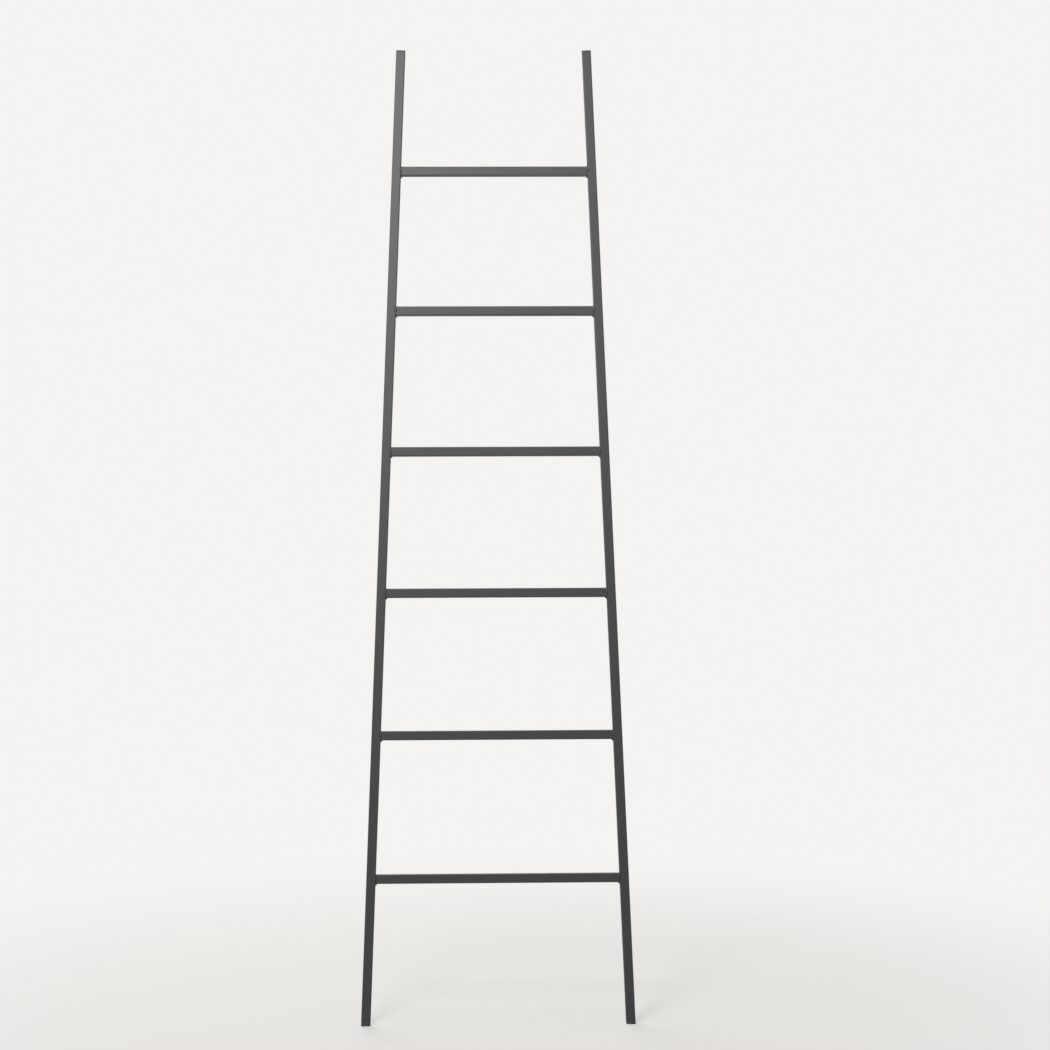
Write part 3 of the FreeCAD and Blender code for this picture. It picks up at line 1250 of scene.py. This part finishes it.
@dataclass(frozen=True)
class Studio:
    """A pale floor that fades into a pale surround, and soft lights.

    In metres, but for the grain of the floor's paint and its depth, in millimetres.
    """

    backdrop: str = "#f4f3f1"
    floor: str = "#e6e4e0"
    floor_radius: float = 2.0
    floor_sides: int = 96
    # how clear the floor is as far as fade_start; from there it fades, and is gone at fade_end
    floor_clearness: float = 0.45
    fade_start: float = 0.3
    fade_end: float = 1.9
    paint_grain: float = 8.0
    paint_depth: float = 0.05
    paint_roughness: float = 0.7
    surround_light: float = 0.08
    boxes: tuple[Softbox, ...] = (
        Softbox("key", (-0.9, -2.4, 2.65), (0.0, 0.1, 1.65), 0.8, 18.5, 100.0),
        Softbox("fill", (-1.8, -3.3, 2.2), (0.0, 0.1, 1.4), 1.6, 9.0, 110.0),
        Softbox("top", (-0.2, 0.1, 3.3), (0.0, 0.0, 0.0), 1.6, 28.0),
        Softbox("back", (-1.0, 2.6, 2.4), (0.0, 0.1, 1.0), 2.4, 50.0),
        Softbox("side", (2.8, 0.9, 1.6), (0.0, 0.0, 0.9), 2.0, 14.0),
    )

    def build(self) -> None:
        """Build the floor, the surround and the lights."""
        self._surround()
        self._floor()
        for box in self.boxes:
            box.light()

    def _surround(self) -> None:
        """The pale surround: one strength for the lens and reflections, another as light."""
        world = bpy.data.worlds.new("pale_surround")
        bpy.context.scene.world = world
        world.use_nodes = True
        tree = world.node_tree
        tree.nodes.clear()
        rays = add_node(tree, "ShaderNodeLightPath")
        mirrored = reckon(
            tree, "MAXIMUM", rays.outputs["Is Glossy Ray"], rays.outputs["Is Transmission Ray"]
        )
        seen = reckon(tree, "MAXIMUM", rays.outputs["Is Camera Ray"], mirrored)
        strength = ranged(tree, seen, wanted=(self.surround_light, 1.0))
        glow = add_node(
            tree,
            "ShaderNodeBackground",
            {"Color": hex_to_linear(self.backdrop), "Strength": strength},
        )
        add_node(tree, "ShaderNodeOutputWorld", {"Surface": glow.outputs["Background"]})

    def _floor(self) -> None:
        """The round floor, partly clear under the ladder and fading out around it."""
        work = bmesh.new()
        bmesh.ops.create_circle(work, cap_ends=True, segments=self.floor_sides, radius=self.floor_radius)
        mesh = bpy.data.meshes.new("studio_floor")
        work.to_mesh(mesh)
        work.free()
        floor = bpy.data.objects.new("studio_floor", mesh)
        bpy.context.scene.collection.objects.link(floor)
        material = bpy.data.materials.new("matt_floor_paint")
        material.use_nodes = True
        tree = material.node_tree
        tree.nodes.clear()
        where = add_node(tree, "ShaderNodeTexCoord").outputs["Object"]
        away = add_node(tree, "ShaderNodeVectorMath", {0: where}, operation="LENGTH")
        clear = ranged(
            tree,
            away.outputs["Value"],
            (self.fade_start, self.fade_end),
            (self.floor_clearness, 1.0),
            interpolation_type="SMOOTHERSTEP",
        )
        grain = noise(tree, where, self.paint_grain, Detail=3.0)
        paint = add_node(
            tree,
            "ShaderNodeBsdfPrincipled",
            {
                "Base Color": hex_to_linear(self.floor),
                "Roughness": self.paint_roughness,
                "Normal": bumped(tree, grain, self.paint_depth),
            },
        )
        nothing = add_node(tree, "ShaderNodeBsdfTransparent")
        mixed = add_node(
            tree,
            "ShaderNodeMixShader",
            {0: clear, 1: paint.outputs["BSDF"], 2: nothing.outputs["BSDF"]},
        )
        add_node(tree, "ShaderNodeOutputMaterial", {"Surface": mixed.outputs["Shader"]})
        mesh.materials.append(material)


@dataclass(frozen=True)
class Viewpoint:
    """The camera, at chest height and about square to the ladder. Millimetres, degrees."""

    distance: float = 5300.0
    across: float = -84.9
    height: float = 1280.6
    down: float = 3.417
    right: float = 1.497
    roll: float = 0.147
    focal_pixels: float = 2784.1
    picture_pixels: float = 1050.0
    sensor: float = 36.0

    def build(self, foot_depth: float) -> None:
        """Set the camera up.

        Args:
            foot_depth: The y of the ladder's feet, in metres, which the distance is measured from.
        """
        down, right, roll = (math.radians(angle) for angle in (self.down, self.right, self.roll))
        forward = Vector(
            (
                math.sin(right) * math.cos(down),
                math.cos(right) * math.cos(down),
                -math.sin(down),
            )
        )
        level = Vector((math.cos(right), -math.sin(right), 0.0))
        above = level.cross(forward)
        tilted = level * math.cos(roll) - above * math.sin(roll)
        turn = Matrix((tilted, tilted.cross(forward), -forward)).transposed()
        data = bpy.data.cameras.new("camera")
        data.sensor_width = self.sensor
        data.lens = self.focal_pixels / self.picture_pixels * self.sensor
        camera = bpy.data.objects.new("camera", data)
        camera.matrix_world = Matrix.Translation(
            (self.across * MM, foot_depth - self.distance * MM, self.height * MM)
        ) @ turn.to_4x4()
        bpy.context.scene.collection.objects.link(camera)
        bpy.context.scene.camera = camera


def main() -> None:
    """Build the camera, the ladder and the studio."""
    logging.basicConfig(level=logging.INFO, format="%(message)s")
    bpy.context.scene.view_settings.view_transform = "Standard"
    foot = frame["record"]["mounts"][0]["pos_m"]
    Viewpoint().build(foot_depth=foot[1])
    Ladder().build()
    Studio().build()


if __name__ == "__main__":
    main()
